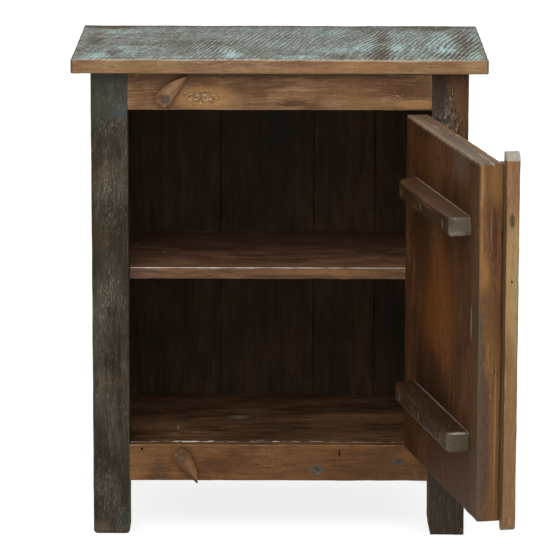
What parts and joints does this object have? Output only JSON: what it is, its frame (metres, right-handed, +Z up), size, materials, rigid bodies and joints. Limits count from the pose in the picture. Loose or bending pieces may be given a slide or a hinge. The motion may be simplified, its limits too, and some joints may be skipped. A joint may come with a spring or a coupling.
{
  "type": "nightstand",
  "caption": "Small timber nightstand with an overhanging painted top, square legs, a fixed shelf and a hinged ledged door held shut by wooden turn buttons.",
  "frame": {"origin": "on the floor, midway between the outside faces of the legs", "axes": "+X to the right seen from the front, -Y towards the front, +Z up"},
  "size_m": [0.5796, 0.7473, 0.6635],
  "materials": {
    "painted_top": "old grey-turquoise paint worn back to saw-marked timber, matt wax",
    "leg_timber": "dark weathered timber, rough, brushed and waxed",
    "rail_timber": "warm brown timber with knots, satin wax",
    "frame_timber": "brown timber, satin wax",
    "side_timber": "brown boards, satin wax",
    "back_timber": "dark brown boards, matt wax",
    "shelf_timber": "dark brown boards with worn edges, satin wax",
    "cleat_timber": "sawn timber strips, matt",
    "door_timber": "reddish brown boards, satin wax",
    "batten_timber": "dark bars with pale rubbed ends, satin wax",
    "strip_timber": "tan timber strip, satin wax",
    "button_timber": "carved tan timber, satin wax",
    "steel": "plain steel, slightly dulled",
    "nail_steel": "dull steel"
  },
  "bodies": {
    "carcass": {"back_board_1": "back_timber", "back_board_2": "back_timber", "back_board_3": "back_timber", "back_board_4": "back_timber", "back_board_nails": "nail_steel", "back_bottom_rail": "frame_timber", "back_left_leg": "leg_timber", "back_right_leg": "leg_timber", "back_top_rail": "frame_timber", "bottom_board_back": "shelf_timber", "bottom_board_front": "shelf_timber", "cleat_nails": "nail_steel", "cleat_screws": "nail_steel", "front_bottom_rail": "rail_timber", "front_left_leg": "leg_timber", "front_right_leg": "leg_timber", "front_top_rail": "rail_timber", "left_bottom_cleat": "cleat_timber", "left_bottom_rail": "frame_timber", "left_shelf_cleat": "cleat_timber", "left_side_board_back": "side_timber", "left_side_board_front": "side_timber", "left_top_cleat": "cleat_timber", "left_top_rail": "frame_timber", "leg_hinge_screws": "steel", "lower_button_screw": "steel", "lower_hinge_leg_leaf": "steel", "lower_hinge_pin": "steel", "right_bottom_cleat": "cleat_timber", "right_bottom_rail": "frame_timber", "right_shelf_cleat": "cleat_timber", "right_side_board_back": "side_timber", "right_side_board_front": "side_timber", "right_top_cleat": "cleat_timber", "right_top_rail": "frame_timber", "shelf": "shelf_timber", "top_board_back": "painted_top", "top_board_front": "painted_top", "top_board_middle": "painted_top", "upper_button_screw": "steel", "upper_hinge_leg_leaf": "steel", "upper_hinge_pin": "steel"},
    "door": {"batten_nails": "nail_steel", "closing_strip": "strip_timber", "closing_strip_nails": "nail_steel", "door_hinge_screws": "steel", "door_inner_board_1": "door_timber", "door_inner_board_2": "door_timber", "door_inner_board_3": "door_timber", "door_outer_board_1": "door_timber", "door_outer_board_2": "door_timber", "door_outer_board_3": "door_timber", "lower_batten": "batten_timber", "lower_hinge_door_leaf": "steel", "upper_batten": "batten_timber", "upper_hinge_door_leaf": "steel"},
    "upper_turn_button": {"upper_turn_button": "button_timber"},
    "lower_turn_button": {"lower_turn_button": "button_timber"}
  },
  "joints": [
    {"name": "door_hinge", "type": "hinge", "parent": "carcass", "child": "door", "pos_m": [0.204, -0.1632, 0.36], "axis": [0, 0, 1], "range_deg": [-101.4, 68.6]},
    {"name": "upper_button_turn", "type": "hinge", "parent": "carcass", "child": "upper_turn_button", "pos_m": [-0.154, -0.1626, 0.607], "axis": [0, 1, 0], "range_deg": [-10, 175]},
    {"name": "lower_button_turn", "type": "hinge", "parent": "carcass", "child": "lower_turn_button", "pos_m": [-0.1335, -0.1626, 0.1108], "axis": [0, 1, 0], "continuous": true}
  ]
}
